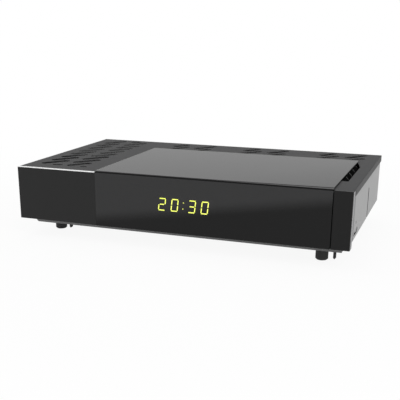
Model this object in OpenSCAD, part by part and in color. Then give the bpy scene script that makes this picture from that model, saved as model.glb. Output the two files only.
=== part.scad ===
// Compact satellite television receiver: a folded steel case with a moulded front, a glossy
// cover plate that wraps from the front over the lid, and the boards and sockets inside.
// Millimetres. +Z is up, the front looks along -Y, and the feet stand on z = 0.

/* [Case] */
// Width over the front panel
case_w = 220; // [216:1:240]
// Depth from the front face to the outer face of the rear panel
case_d = 130; // [128:1:160]
// Height of the lid's top face above the table
case_h = 47; // [46:0.5:54]
// Height of the front panel
front_h = 34.9; // [33:0.1:36]
// Thickness of the chassis sheet
sheet_t = 0.8; // [0.6:0.1:1]
// Thickness of the lid's sheet
lid_t = 0.6; // [0.5:0.1:0.7]
// Height of the lid's side flanges
lid_flange_h = 4.3; // [3:0.1:6]

/* [Feet and pan] */
// Clear height of the pan's floor above the table
foot_h = 7.2; // [6:0.1:7.6]
// Diameter of a foot's round pad
foot_d = 7.8; // [6:0.1:9]
// Distance of the feet from the middle, left to right
foot_x = 91; // [80:1:92]

/* [Front] */
// Left edge of the glossy plate, from the middle
gloss_x0 = -53; // [-60:1:-40]
// Right edge of the glossy plate, from the middle
gloss_x1 = 98.5; // [95:0.5:100]
// How far the glossy plate runs back over the lid
gloss_reach = 98; // [80:1:100]
// Thickness of the glossy plate where it lies on the lid
gloss_t = 0.9; // [0.8:0.1:1.5]
// Depth of the bright strip along the top of the left block
strip_depth = 2.6; // [2:0.1:3]

/* [Vents] */
// Width of one vent slot
slot_w = 5.7; // [4:0.1:6]
// Pitch of the slots, front to back
slot_pitch = 13.3; // [12.6:0.1:15]
// Width of one column of slots
column_w = 14.8; // [13:0.1:15]

/* [Power switch] */
// Angle the rocker tips each way from the middle
rocker_tip = 7; // [4:1:8]

/* [Hidden] */

$fn = 48;
eps = 0.01;

// Case levels and faces, measured from the front face (y = 0) before the case is placed
conn_reach = 12;
front_y = -(case_d + conn_reach) / 2;
half_w = case_w / 2;
wall_x = half_w - lid_t;
front_z = case_h - front_h;
step_z = case_h - 32.6;
lid_z = case_h - lid_t;
rear_y = case_d - sheet_t;

// Pan stamped into the tray's floor
pan_front = 9.4;
pan_back = case_d - 3;
pan_half = half_w - 5.3;
pan_slope_run = 2.4;
pan_slope_rise = 2.6;
pan_side_draft = 0.8;
floor_z = foot_h + sheet_t;

// Tray walls and their cut-outs
tray_front = 8.6;
hook_y0 = 17;
hook_y1 = 31;
hook_z0 = step_z + 2.1;
hook_z1 = hook_z0 + 3;
locating_hole = [23.7, case_h - 23.3];
side_slit_y = 75.2;
side_slit_w = 2.6;
side_slit_top = case_h - 12.5;
tab_w = 8;
tab_h = 8;
tab_z = [step_z + 7, step_z + 19.6];
tab_hole_x = wall_x - sheet_t - tab_w / 2;

// Fasteners
screw_r = 1.5;
screw_hole_r = 1.56;
head_r = 2.8;
head_h = 1.7;
lid_rear_h = 8.5;
lid_screw_x = [-84, 0, 84];
lid_screw_z = case_h - 5;

// Front moulding, with the arms that reach into the tray
face_t = 2;
frame_back = 7;
frame_wall = 1.8;
web_t = 1.4;
arm_x = wall_x - sheet_t;
arm_t = 1.6;
arm_z0 = step_z + sheet_t;
arm_z1 = lid_z - 6;
window_x = [-15, 30];
window_z = [front_z + 10.5, front_z + 26];
eye_x = [42, 47];
eye_z = [front_z + 17, front_z + 24];
part_gap = 0.4;
board_face = 7.4;
post_x = [-34, 52];
post_z = [front_z + 14, front_z + 28];
stake_r = 1;
front_board_t = 1.2;

// Main board
board_t = 1.6;
board_z = step_z - 0.4;
board_top = board_z + board_t;
board_half = half_w - 12;
board_front = 32;
board_back = case_d - 4.4;
standoff_h = board_z - floor_z;
standoff_at = [[-90, 37], [90, 37], [-90, 82], [84, case_d - 18]];

// Rear sockets, centre lines from the middle of the case
satellite_x = [-90, -70];
satellite_z = board_top + 8.6;
satellite_r = 4.75;
shank_r = 4.2;
nut_t = 2.4;
hdmi_x = -46;
usb_x = -26;
scart_x = 17;
scart_z = board_top + 10.7;
coax_x = 54;
coax_z = board_top + 7.4;
inlet_x = 72;
inlet_z = board_top + 6.2;
switch_x = 93;
switch_z = board_top + 11.9;
socket_face = case_d + 0.8;
cut_gap = 0.3;

// Feet
foot_back = case_d - 19;
foot_at = [[-foot_x - 3.5, 26.5], [foot_x, 19], [-foot_x, foot_back], [foot_x, foot_back]];
foot_stem_r = 2.4;
foot_hole_r = 2.5;

// Display
digit_h = 8;
digit_w = 4.7;
digit_lean = 0.11;
digit_z = front_z + 14;
digit_x = [-9.4, -1, 10.4, 18.7];
digit_segments = ["abged", "abcdef", "abgcd", "abcdef"];
colon_x = 7;
segment_t = 0.64;
digit_depth = 0.3;

// The case stands with its box centred on the origin
module placed() translate([0, front_y, 0]) children();

// A block between two corners
module slab(low, high) translate(low) cube(high - low);

// A flat shape in x and z, pushed back from y0 to y1
module push_back(y0, y1) translate([0, y1, 0]) rotate([90, 0, 0]) linear_extrude(y1 - y0) children();

// A flat shape in y and z, run sideways from x0 to x1
module run_across(x0, x1)
    translate([x0, 0, 0]) rotate([90, 0, 90]) linear_extrude(x1 - x0) children();

// A bore or pin along y
module rod_y(x, y0, y1, z, r) translate([x, y1, z]) rotate([90, 0, 0]) cylinder(r = r, h = y1 - y0);

// A slot with round ends between two centres
module slot_2d(a, b, w) {
    run = b - a;
    length = norm(run);
    translate(a) rotate(atan2(run.y, run.x)) {
        circle(d = w);
        translate([length, 0]) circle(d = w);
        translate([0, -w / 2]) square([length, w]);
    }
}

// A flat rectangle with round corners, centred
module round_rect(w, h, r) {
    square([w - 2 * r, h], center = true);
    square([w, h - 2 * r], center = true);
    for (x = [-1, 1], y = [-1, 1])
        translate([x * (w / 2 - r), y * (h / 2 - r)]) circle(r = r);
}

// A pan-head screw along y, its head outside at y and its tip t further in
module rear_screw(x, y, z, t) difference() {
    union() {
        rod_y(x, y - t, y, z, screw_r);
        rod_y(x, y, y + head_h, z, head_r);
    }
    for (turn = [0, 90]) translate([x, y + head_h - 0.8, z]) rotate([0, turn, 0])
        translate([-1.6, 0, -0.35]) cube([3.2, 0.8 + eps, 0.7]);
}

// ---- Steel case ----

// The pan's outline, with drafted walls, drawn in by g all round
module pan_block(g, top_z) intersection() {
    push_back(pan_front, pan_back) polygon([
        [-pan_half + g, top_z], [pan_half - g, top_z],
        [pan_half - pan_side_draft - g, foot_h + g], [-pan_half + pan_side_draft + g, foot_h + g]]);
    run_across(-pan_half, pan_half) polygon([
        [pan_front + g, top_z], [pan_back - g, top_z], [pan_back - g, foot_h + g],
        [pan_front + pan_slope_run + g, foot_h + g], [pan_front + g, foot_h + pan_slope_rise + g]]);
}

module chassis_tray() color("silver") placed() difference() {
    union() {
        difference() {
            union() {
                slab([-wall_x, tray_front, step_z], [wall_x, rear_y, lid_z]);
                pan_block(0, step_z + eps);
            }
            slab([-wall_x + sheet_t, -1, step_z + sheet_t], [wall_x - sheet_t, case_d, case_h]);
            pan_block(sheet_t, step_z + sheet_t + eps);
        }
        // low upstand at the front
        slab([-pan_half, tray_front, step_z], [pan_half, tray_front + sheet_t, front_z + 8]);
        // tabs for the rear panel's screws
        for (side = [-1, 1], z = tab_z)
            translate([side * tab_hole_x, rear_y - sheet_t, z])
                slab([-tab_w / 2, 0, -tab_h / 2], [tab_w / 2, sheet_t, tab_h / 2]);
    }
    for (side = [-1, 1]) {
        x = side * wall_x;
        // window that the front's hook snaps into, and its locating hole
        slab([x - 2, hook_y0, hook_z0], [x + 2, hook_y1, hook_z1]);
        translate([x - 2, locating_hole[0], locating_hole[1]]) rotate([0, 90, 0]) cylinder(r = 1, h = 4);
        // slit that leaves the wall's rear half free to spring
        slab([x - 2, side_slit_y - side_slit_w / 2, step_z - 1],
            [x + 2, side_slit_y + side_slit_w / 2, side_slit_top]);
        for (z = tab_z) rod_y(side * tab_hole_x, rear_y - 2, rear_y + 1, z, screw_hole_r);
    }
    for (at = foot_at) translate([at.x, at.y, foot_h - 1]) cylinder(r = foot_hole_r, h = 4);
    // rows of floor vents under the board
    for (row = [0:4], column = [-3:3])
        translate([0, 0, foot_h - 1]) linear_extrude(3)
            slot_2d([column * 22 - 6, 48 + row * 12], [column * 22 + 6, 48 + row * 12], 2.4);
}

module rear_panel() color("silver") placed() difference() {
    slab([-wall_x, rear_y, step_z], [wall_x, case_d, lid_z]);
    for (x = satellite_x) rod_y(x, rear_y - 1, case_d + 1, satellite_z, shank_r + 0.1);
    rod_y(coax_x, rear_y - 1, case_d + 1, coax_z, 5.1);
    rod_y(inlet_x, rear_y - 1, case_d + 1, inlet_z, 4.1);
    for (side = [-1, 1], z = tab_z) rod_y(side * tab_hole_x, rear_y - 1, case_d + 1, z, screw_hole_r);
    for (x = lid_screw_x) rod_y(x, rear_y - 1, case_d + 1, lid_screw_z, screw_hole_r);
    push_back(rear_y - 1, case_d + 1) {
        translate([hdmi_x, board_top + hdmi_h / 2])
            square([hdmi_w + 2 * cut_gap, hdmi_h + 2 * cut_gap], center = true);
        translate([usb_x, board_top + usb_h / 2])
            square([usb_w + 2 * cut_gap, usb_h + 2 * cut_gap], center = true);
        translate([scart_x, scart_z]) round_rect(scart_w + 2 * cut_gap, scart_h + 2 * cut_gap, 2);
        translate([switch_x, switch_z]) square([switch_body_w + 0.2, switch_body_h + 0.2], center = true);
    }
    // vents above the low sockets
    push_back(rear_y - 1, case_d + 1) for (i = [0:6])
        slot_2d([-55 + i * 5, board_top + 12], [-55 + i * 5, board_top + 19], 2.4);
}

// One column of slanting slots. Those at its front and back are shortened, so it ends square.
module slot_column(x0, first, y_min, y_max) {
    r = slot_w / 2;
    reach = column_w / 2 - r;
    middle = x0 + column_w / 2;
    for (k = [-1:ceil((y_max - first) / slot_pitch)]) {
        y = first + k * slot_pitch;
        low = max(-reach, (y_min + r - y) / slot_slope);
        high = min(reach, (y_max - r - y) / slot_slope);
        if (high - low > 2)
            slot_2d([middle + low, y + low * slot_slope], [middle + high, y + high * slot_slope], slot_w);
    }
}

// Columns stand in pairs. Only the first pair runs the lid's whole depth.
first_column = -half_w + 7.8;
pair_pitch = (case_w - 50.2) / 3;
column_pitch = 18.8;
slot_slope = 1.24;
first_slot = 23.7;
second_shift = -3.7;
rear_shift = 5;
vent_front = 13.6;
vent_back = case_d - 3.8;
air_slot_x = [gloss_x1 - 5, gloss_x1 + 3.9];
air_slot_y = [28.5, gloss_reach - 20, gloss_reach - 2];

// Studs under the glossy plate that snap through the lid
stud_at = [for (x = [gloss_x0 + 12, 20, gloss_x1 - 14], y = [20, gloss_reach - 14]) [x, y]];
stud_r = 1.5;
stud_hole_r = 1.6;
stud_drop = 1.6;

module top_cover() color([0.13, 0.13, 0.14]) placed() difference() {
    union() {
        slab([-half_w, strip_depth, lid_z], [half_w, case_d + lid_t, case_h]);
        for (side = [-1, 1]) translate([side * (half_w - lid_t / 2), 0, 0])
            slab([-lid_t / 2, tray_front, case_h - lid_flange_h], [lid_t / 2, case_d + lid_t, lid_z + eps]);
        slab([-half_w, case_d, case_h - lid_flange_h], [half_w, case_d + lid_t, lid_z + eps]);
        slab([-half_w + 1.6, case_d, case_h - lid_rear_h],
            [half_w - 1.6, case_d + lid_t, case_h - lid_flange_h + eps]);
    }
    translate([0, 0, lid_z - 1]) linear_extrude(3) for (pair = [0:3]) {
        x = first_column + pair * pair_pitch;
        y_min = pair == 0 ? vent_front : gloss_reach + 2;
        first = pair == 0 ? first_slot : first_slot + rear_shift;
        slot_column(x, first, y_min, vent_back);
        slot_column(x + column_pitch, first + second_shift, y_min, vent_back);
    }
    for (at = stud_at) translate([at.x, at.y, lid_z - 1]) cylinder(r = stud_hole_r, h = 3);
    // air slot beside the plate, its far end slanting under the plate's edge
    translate([0, 0, lid_z - 1]) linear_extrude(3) polygon([
        [air_slot_x[0], air_slot_y[0]], [air_slot_x[1], air_slot_y[0]], [air_slot_x[1], air_slot_y[1]],
        [gloss_x1 - 0.5, air_slot_y[2]], [air_slot_x[0], air_slot_y[2]]]);
    for (x = lid_screw_x) rod_y(x, case_d - 1, case_d + 2, lid_screw_z, screw_hole_r);
}

// ---- Front ----

// Moulded frame behind the front plates. Staked posts carry the display's board.
module front_frame() color([0.62, 0.62, 0.63]) placed() {
    difference() {
        slab([-half_w, face_t, front_z], [half_w, frame_back, lid_z]);
        slab([-half_w + frame_wall, face_t + web_t, front_z + frame_wall],
            [half_w - frame_wall, frame_back + 1, lid_z - frame_wall]);
        slab([window_x[0], 0, window_z[0]], [window_x[1], frame_back, window_z[1]]);
        slab([eye_x[0] - part_gap, 0, eye_z[0] - part_gap],
            [eye_x[1] + part_gap, frame_back, eye_z[1] + part_gap]);
    }
    for (x = post_x, z = post_z) {
        rod_y(x, face_t + eps, board_face, z, 2.2);
        rod_y(x, board_face - eps, board_face + front_board_t + eps, z, stake_r);
        rod_y(x, board_face + front_board_t, board_face + front_board_t + 0.8, z, 1.8);
    }
    for (side = [0, 1]) mirror([side, 0, 0]) {
        slab([arm_x - arm_t, face_t + web_t - eps, arm_z0], [arm_x, hook_y1 + 2, arm_z1]);
        hook();
    }
}

// A ramp that rises towards the back and stops square in the tray's window
module hook() translate([0, 0, hook_z0 + part_gap]) linear_extrude(hook_z1 - hook_z0 - 2 * part_gap)
    polygon([[arm_x - 0.4, hook_y0 + 5], [arm_x, hook_y0 + 5], [arm_x + 0.7, hook_y1 - 2],
        [arm_x - 0.4, hook_y1 - 2]]);

module left_front_block() color([0.1, 0.1, 0.1]) placed() {
    slab([-half_w, 0, front_z], [gloss_x0, face_t, lid_z]);
}

module chrome_strip() color("white") placed() run_across(-half_w, gloss_x0) {
    r = lid_t - 0.1;
    translate([r, lid_z]) square([strip_depth - r, lid_t]);
    translate([0, lid_z]) square([r + eps, lid_t - r]);
    intersection() {
        translate([r, case_h - r]) circle(r = r);
        translate([0, case_h - r]) square([r + eps, r]);
    }
}

module right_front_strip() color([0.09, 0.09, 0.09]) placed() {
    seam = 0.5;
    slab([gloss_x1 + seam, 0, front_z], [half_w, face_t, lid_z]);
    slab([gloss_x1 + seam, 0, lid_z], [half_w, strip_depth, case_h]);
    // tongue behind the seam
    slab([gloss_x1, face_t - 0.8, front_z], [gloss_x1 + seam, face_t, lid_z]);
}

// The plate wraps from the front over the lid, and its studs snap through the lid
module gloss_plate() color([0.03, 0.03, 0.03]) placed() difference() {
    plate_body();
    display_pockets();
}

module plate_body() {
    top = case_h + gloss_t;
    r = 1.2;
    for (at = stud_at) translate([at.x, at.y, lid_z - stud_drop]) {
        cylinder(r = stud_r, h = stud_drop + lid_t + gloss_t / 2);
        cylinder(r1 = stud_r - 0.3, r2 = stud_r + 0.5, h = stud_drop);
    }
    run_across(gloss_x0, gloss_x1) {
        translate([0, front_z]) square([face_t, top - r - front_z]);
        translate([r, case_h]) square([gloss_reach - r, gloss_t]);
        translate([r, top - r]) square([strip_depth - r, r]);
        intersection() {
            translate([r, top - r]) circle(r = r);
            translate([0, top - r]) square([r + eps, r]);
        }
        translate([0, lid_z]) square([strip_depth, top - r - lid_z]);
    }
}

// ---- Display ----

// The seven segments of one digit, as bars in a cell of digit_w by digit_h
function segment_box(s) =
    s == "a" ? [[0.4, digit_h - segment_t], [digit_w - 0.4, digit_h]] :
    s == "d" ? [[0.4, 0], [digit_w - 0.4, segment_t]] :
    s == "g" ? [[0.9, (digit_h - segment_t) / 2], [digit_w - 0.9, (digit_h + segment_t) / 2]] :
    s == "b" ? [[digit_w - segment_t, digit_h / 2 + 0.3], [digit_w, digit_h - 0.7]] :
    s == "c" ? [[digit_w - segment_t, 0.7], [digit_w, digit_h / 2 - 0.3]] :
    s == "f" ? [[0, digit_h / 2 + 0.3], [segment_t, digit_h - 0.7]] :
    [[0, 0.7], [segment_t, digit_h / 2 - 0.3]];

// A bar leaned over like the rest of the digit
module leaned_bar(low, high) polygon([
    [low.x + low.y * digit_lean, low.y], [high.x + low.y * digit_lean, low.y],
    [high.x + high.y * digit_lean, high.y], [low.x + high.y * digit_lean, high.y]]);

module display_pockets() {
    push_back(-eps, digit_depth) translate([0, digit_z]) display_bars();
}

module display_bars() {
    for (i = [0:3]) translate([digit_x[i], 0]) for (s = digit_segments[i]) {
        box = segment_box(s);
        leaned_bar(box[0], box[1]);
    }
    for (z = [digit_h * 0.27, digit_h * 0.75])
        translate([colon_x + z * digit_lean, z]) circle(d = 0.8, $fn = 24);
}

module display_digits() color([0.8, 1, 0.1]) placed()
    push_back(0, digit_depth) translate([0, digit_z]) display_bars();

module display_module() color([0.05, 0.05, 0.05]) placed()
    slab([window_x[0] + part_gap, face_t, window_z[0] + part_gap],
        [window_x[1] - part_gap, board_face, window_z[1] - part_gap]);

module display_board() color("darkgreen") placed() difference() {
    slab([-40, board_face, front_z + 9], [60, board_face + front_board_t, front_z + 32]);
    for (x = post_x, z = post_z) rod_y(x, board_face - 1, board_face + 3, z, stake_r + 0.06);
}

// A square package with a domed lens towards the front
module infrared_receiver() color([0.15, 0.05, 0.08]) placed() {
    slab([eye_x[0], face_t + 2, eye_z[0]], [eye_x[1], board_face, eye_z[1]]);
    intersection() {
        translate([(eye_x[0] + eye_x[1]) / 2, face_t + 2, (eye_z[0] + eye_z[1]) / 2]) sphere(r = 2);
        slab([eye_x[0], face_t, eye_z[0]], [eye_x[1], face_t + 3, eye_z[1]]);
    }
}

// ---- Ribbon cable between the boards ----

ribbon_x = [-16, 6];
header_d = 3.4;
ribbon_t = 0.6;
ribbon_front = board_face + front_board_t + header_d;
ribbon_z = front_z + 22;
ribbon_drop_y = 37;
ribbon_bend = 4;

module ribbon_headers() color("white") placed() {
    slab([ribbon_x[0] - 1, board_face + front_board_t, ribbon_z - 2.4],
        [ribbon_x[1] + 1, ribbon_front, ribbon_z + 2.4]);
    slab([ribbon_x[0] - 1, ribbon_drop_y - 2.4, board_top],
        [ribbon_x[1] + 1, ribbon_drop_y + 2.4, board_top + header_d]);
}

module ribbon_cable() color("lightgray") placed() run_across(ribbon_x[0], ribbon_x[1]) {
    half = ribbon_t / 2;
    corner = [ribbon_drop_y - ribbon_bend, ribbon_z - ribbon_bend];
    translate([ribbon_front, ribbon_z - half]) square([corner.x - ribbon_front, ribbon_t]);
    translate([ribbon_drop_y - half, board_top + header_d])
        square([ribbon_t, corner.y - board_top - header_d]);
    intersection() {
        translate(corner) difference() {
            circle(r = ribbon_bend + half);
            circle(r = ribbon_bend - half);
        }
        translate(corner) square(ribbon_bend * 2);
    }
}

// ---- Main board and what stands on it ----

module main_board() color("darkgreen") placed() difference() {
    slab([-board_half, board_front, board_z], [board_half, board_back, board_top]);
    for (at = standoff_at) translate([at.x, at.y, board_z - 1]) cylinder(r = screw_hole_r, h = board_t + 2);
}

module board_standoffs() color("gold") placed() for (at = standoff_at)
    translate([at.x, at.y, floor_z]) difference() {
        cylinder(r = 3.2, h = standoff_h, $fn = 6);
        translate([0, 0, 1]) cylinder(r = screw_hole_r, h = standoff_h);
    }

module board_screws() color("silver") placed() for (at = standoff_at)
    translate([at.x, at.y, board_top]) difference() {
        union() {
            cylinder(r = head_r, h = head_h);
            translate([0, 0, -board_t - 4]) cylinder(r = screw_r, h = board_t + 4);
        }
        for (turn = [0, 90]) rotate(turn) translate([-1.6, -0.35, head_h - 0.8]) cube([3.2, 0.7, 1]);
    }

tuner_x = [-97.5, -60];
tuner_y0 = case_d - 40;
tuner_h = 15.5;
tuner_wall = 0.5;

module tuner_can() color("silver") placed() difference() {
    slab([tuner_x[0], tuner_y0, board_top], [tuner_x[1], board_back, board_top + tuner_h]);
    slab([tuner_x[0] + tuner_wall, tuner_y0 + tuner_wall, board_top - 1],
        [tuner_x[1] - tuner_wall, board_back - tuner_wall, board_top + tuner_h - tuner_wall]);
    // rows of tuning holes in the can's lid
    for (row = [0, 1], i = [0:2])
        translate([tuner_x[0] + 8 + i * 11, tuner_y0 + 10 + row * 14, board_top + tuner_h - 1])
            cylinder(r = 1.8, h = 2);
}

// A screwed coaxial connector: a shank through the panel, the plug's nose, the centre contact's hole
module satellite_connector(x) placed() difference() {
    union() {
        rod_y(x, board_back, case_d + nut_t + 0.5, satellite_z, shank_r);
        rod_y(x, case_d + nut_t + 0.4, case_d + conn_reach, satellite_z, satellite_r);
    }
    rod_y(x, case_d + conn_reach - 8, case_d + conn_reach + 1, satellite_z, 0.6);
}

module satellite_input() color("gainsboro") satellite_connector(satellite_x[0]);

module satellite_output() color("gainsboro") satellite_connector(satellite_x[1]);

module connector_nuts() color("silver") placed() for (x = satellite_x)
    translate([x, case_d + nut_t, satellite_z]) rotate([90, 0, 0]) difference() {
        cylinder(r = 7, h = nut_t, $fn = 6);
        translate([0, 0, -1]) cylinder(r = shank_r + 0.05, h = 5);
    }

chip_at = [-10, 78];
chip_w = 27;
chip_h = 2;

module processor_chip() color([0.08, 0.08, 0.08]) placed()
    slab([chip_at.x - chip_w / 2, chip_at.y - chip_w / 2, board_top],
        [chip_at.x + chip_w / 2, chip_at.y + chip_w / 2, board_top + chip_h]);

sink_w = 36;
sink_base = 3;
sink_h = 13;
fins = 9;
fin_t = 1.4;

module heat_sink() color("dimgray") placed()
    translate([chip_at.x - sink_w / 2, chip_at.y - sink_w / 2, board_top + chip_h]) {
        cube([sink_w, sink_w, sink_base]);
        for (i = [0:fins - 1]) translate([i * (sink_w - fin_t) / (fins - 1), 0, sink_base - eps])
            cube([fin_t, sink_w, sink_h - sink_base]);
    }

module memory_chips() color([0.08, 0.08, 0.08]) placed() {
    for (x = [18, 35]) slab([x, 66, board_top], [x + 12, 88, board_top + 1.2]);
    slab([-52, 60, board_top], [-40, 72, board_top + 1.6]);
    slab([60, 60, board_top], [68, 66, board_top + 1.5]);
}

// Centre, radius and height of each can
can_sizes = [[70, 92, 5, 12], [84, 92, 5, 12], [58, 96, 4, 10], [78, 78, 4, 10], [-48, 84, 3.2, 8],
    [48, 46, 3.2, 8]];

module capacitors() color("darkslateblue") placed()
    for (c = can_sizes) translate([c[0], c[1], board_top]) cylinder(r = c[2], h = c[3]);

module power_coils() color([0.2, 0.2, 0.2]) placed() {
    for (x = [62, 80]) slab([x, 46, board_top], [x + 11, 57, board_top + 6]);
    slab([64, 70, board_top], [71, 76, board_top + 4]);
}

// ---- Rear sockets ----

hdmi_w = 15;
hdmi_h = 6;
usb_w = 13.2;
usb_h = 7;
barrel_r = 4.15;
barrel_bore_r = 3.3;
scart_w = 48;
scart_h = 13.4;

module hdmi_socket() color("silver") placed() translate([hdmi_x, 0, board_top]) difference() {
    slab([-hdmi_w / 2, case_d - 12, 0], [hdmi_w / 2, socket_face, hdmi_h]);
    // the mouth narrows at its lower corners and leaves the contact tongue standing
    difference() {
        push_back(case_d - 10.5, socket_face + 1) polygon([
            [-6.95, 5.3], [6.95, 5.3], [6.95, 2.4], [5.4, 0.85], [-5.4, 0.85], [-6.95, 2.4]]);
        slab([-5.6, case_d - 12, 2.6], [5.6, socket_face - 1.2, 4]);
    }
}

module usb_socket() color("silver") placed() translate([usb_x, 0, board_top]) difference() {
    slab([-usb_w / 2, case_d - 16, 0], [usb_w / 2, socket_face, usb_h]);
    difference() {
        slab([-6.2, case_d - 14.5, 0.8], [6.2, socket_face + 1, 6]);
        slab([-5.5, case_d - 16, 3.6], [5.5, socket_face - 1.5, 5.4]);
    }
}

module scart_socket() color([0.08, 0.08, 0.08]) placed() translate([scart_x, 0, 0]) difference() {
    union() {
        slab([-26, case_d - 18, board_top], [26, rear_y, scart_z + 9.2]);
        push_back(rear_y - eps, socket_face) translate([0, scart_z]) round_rect(scart_w, scart_h, 1.8);
    }
    // slot for the plug's shell round the contact block; one end of it slants
    push_back(socket_face - 9, socket_face + 1) translate([0, scart_z]) difference() {
        polygon([[-22.6, -5.4], [22.6, -5.4], [22.6, 1.2], [18.8, 5.4], [-22.6, 5.4]]);
        polygon([[-20.6, -3.4], [20.6, -3.4], [20.6, 0.4], [17.9, 3.4], [-20.6, 3.4]]);
    }
    for (i = [0:9], row = [0, 1])
        translate([-18.9 + i * 3.81 + row * 1.9, socket_face - 7, scart_z - 2.4 + row * 3])
            cube([0.8, 8, 1.9]);
}

module coax_body() color([0.9, 0.35, 0.05]) placed() difference() {
    union() {
        slab([coax_x - 5.2, case_d - 13, board_top], [coax_x + 5.2, rear_y, board_top + 12.6]);
        rod_y(coax_x, rear_y - eps, case_d + 1, coax_z, 5);
        rod_y(coax_x, case_d, case_d + 8, coax_z, barrel_bore_r - 0.05);
    }
    rod_y(coax_x, case_d - 2, case_d + 9, coax_z, 1.65);
}

module coax_barrel() color("gold") placed() difference() {
    rod_y(coax_x, case_d + 1, case_d + 9, coax_z, barrel_r);
    rod_y(coax_x, case_d, case_d + 10, coax_z, barrel_bore_r);
}

module power_inlet() color([0.08, 0.08, 0.08]) placed() difference() {
    union() {
        slab([inlet_x - 4.5, case_d - 15, board_top], [inlet_x + 4.5, rear_y, board_top + 11]);
        rod_y(inlet_x, rear_y - eps, socket_face, inlet_z, 4);
    }
    difference() {
        rod_y(inlet_x, socket_face - 9.5, socket_face + 1, inlet_z, 2.9);
        rod_y(inlet_x, socket_face - 10, socket_face - 1.2, inlet_z, 1);
    }
}

// ---- Power switch ----

switch_body_w = 13;
switch_body_h = 19;
bezel_w = 15;
bezel_h = 21;
bezel_t = 2;
rocker_w = 10.2;
rocker_r = 8.1;
rocker_gap = 0.3;
pivot_y = case_d + 0.3;
pin_r = 1.2;
pin_reach = 6;
pin_fit = 0.06;
rocker_rise = 2.2;

module switch_housing() color([0.06, 0.06, 0.06]) placed() translate([switch_x, 0, switch_z]) difference() {
    union() {
        slab([-switch_body_w / 2, case_d - 13, -switch_body_h / 2],
            [switch_body_w / 2, case_d, switch_body_h / 2]);
        push_back(case_d, case_d + bezel_t) round_rect(bezel_w, bezel_h, 1);
        // terminals
        for (z = [-5, 5]) slab([-3.1, case_d - 20, z - 0.4], [3.1, case_d - 13 + eps, z + 0.4]);
    }
    slab([-rocker_w / 2 - rocker_gap, case_d - 9.5, -rocker_r - rocker_gap],
        [rocker_w / 2 + rocker_gap, case_d + 3, rocker_r + rocker_gap]);
    translate([-pin_reach - 0.1, pivot_y, 0]) rotate([0, 90, 0])
        cylinder(r = pin_r + pin_fit, h = 2 * pin_reach + 0.2);
}

// The rocker's side view about its pivot: round ends and two faces that meet in a shallow vee
module rocker_outline() intersection() {
    circle(r = rocker_r);
    rise = rocker_r * tan(rocker_tip);
    polygon([[-4, -rocker_r], [rocker_rise + rise, -rocker_r], [rocker_rise, 0],
        [rocker_rise + rise, rocker_r], [-4, rocker_r]]);
}

module switch_rocker() color([0.12, 0.12, 0.12]) placed()
    translate([switch_x, pivot_y, switch_z]) rotate([-rocker_tip, 0, 0]) {
        run_across(-rocker_w / 2, rocker_w / 2) rocker_outline();
        translate([-pin_reach, 0, 0]) rotate([0, 90, 0]) cylinder(r = pin_r, h = 2 * pin_reach);
    }

// ---- Small parts ----

module cover_screws() color("silver") placed()
    for (x = lid_screw_x) rear_screw(x, case_d + lid_t, lid_screw_z, 4);

module rear_panel_screws() color("silver") placed()
    for (side = [-1, 1], z = tab_z) rear_screw(side * tab_hole_x, case_d, z, 4);

// A push-in foot: a flange, a round pad, a peg beside it and a stem through the floor
module foot(at) color([0.14, 0.14, 0.14]) placed() translate([at.x, at.y, 0]) {
    chamfer = 0.7;
    rotate_extrude() polygon([[0, 0], [foot_d / 2 - chamfer, 0], [foot_d / 2, chamfer],
        [foot_d / 2, foot_h - 0.8], [foot_d / 2 + 0.8, foot_h], [0, foot_h]]);
    cylinder(r = foot_stem_r, h = foot_h + sheet_t + 0.4);
    translate([0, 0, floor_z]) cylinder(r1 = foot_stem_r + 0.5, r2 = foot_stem_r - 0.4, h = 1.6);
    slab([0, -1.2, foot_h - 0.8], [8.6, 1.2, foot_h]);
    push_back(-1, 1) polygon([[7, foot_h], [8.6, foot_h], [8.6, 1.6], [7.8, 0.8], [7, 1.6]]);
}

module foot_front_left() foot(foot_at[0]);

module foot_front_right() foot(foot_at[1]);

module foot_rear_left() foot(foot_at[2]);

module foot_rear_right() foot(foot_at[3]);

chassis_tray();
rear_panel();
top_cover();
front_frame();
left_front_block();
right_front_strip();
gloss_plate();
chrome_strip();
display_digits();
display_module();
display_board();
infrared_receiver();
ribbon_cable();
ribbon_headers();
main_board();
board_standoffs();
board_screws();
tuner_can();
satellite_input();
satellite_output();
connector_nuts();
processor_chip();
heat_sink();
memory_chips();
capacitors();
power_coils();
scart_socket();
hdmi_socket();
usb_socket();
coax_body();
coax_barrel();
power_inlet();
switch_housing();
switch_rocker();
cover_screws();
rear_panel_screws();
foot_front_left();
foot_front_right();
foot_rear_left();
foot_rear_right();
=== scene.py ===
import math

import bpy
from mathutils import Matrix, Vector


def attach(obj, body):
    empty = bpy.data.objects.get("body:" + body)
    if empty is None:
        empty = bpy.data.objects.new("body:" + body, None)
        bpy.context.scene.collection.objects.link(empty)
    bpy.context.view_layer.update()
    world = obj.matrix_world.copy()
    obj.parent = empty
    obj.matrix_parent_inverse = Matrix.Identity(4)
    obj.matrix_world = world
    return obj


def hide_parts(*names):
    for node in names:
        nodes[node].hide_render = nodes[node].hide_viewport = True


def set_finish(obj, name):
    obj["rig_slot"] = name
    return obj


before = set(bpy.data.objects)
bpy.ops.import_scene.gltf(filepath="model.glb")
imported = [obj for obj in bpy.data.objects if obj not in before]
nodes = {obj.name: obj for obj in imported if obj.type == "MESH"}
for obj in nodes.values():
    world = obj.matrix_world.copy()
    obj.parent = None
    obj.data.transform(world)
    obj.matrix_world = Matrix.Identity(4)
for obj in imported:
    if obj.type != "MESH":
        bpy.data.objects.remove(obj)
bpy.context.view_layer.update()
print("frame loaded:", len(nodes), "nodes")

# helpers for shader nodes


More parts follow.
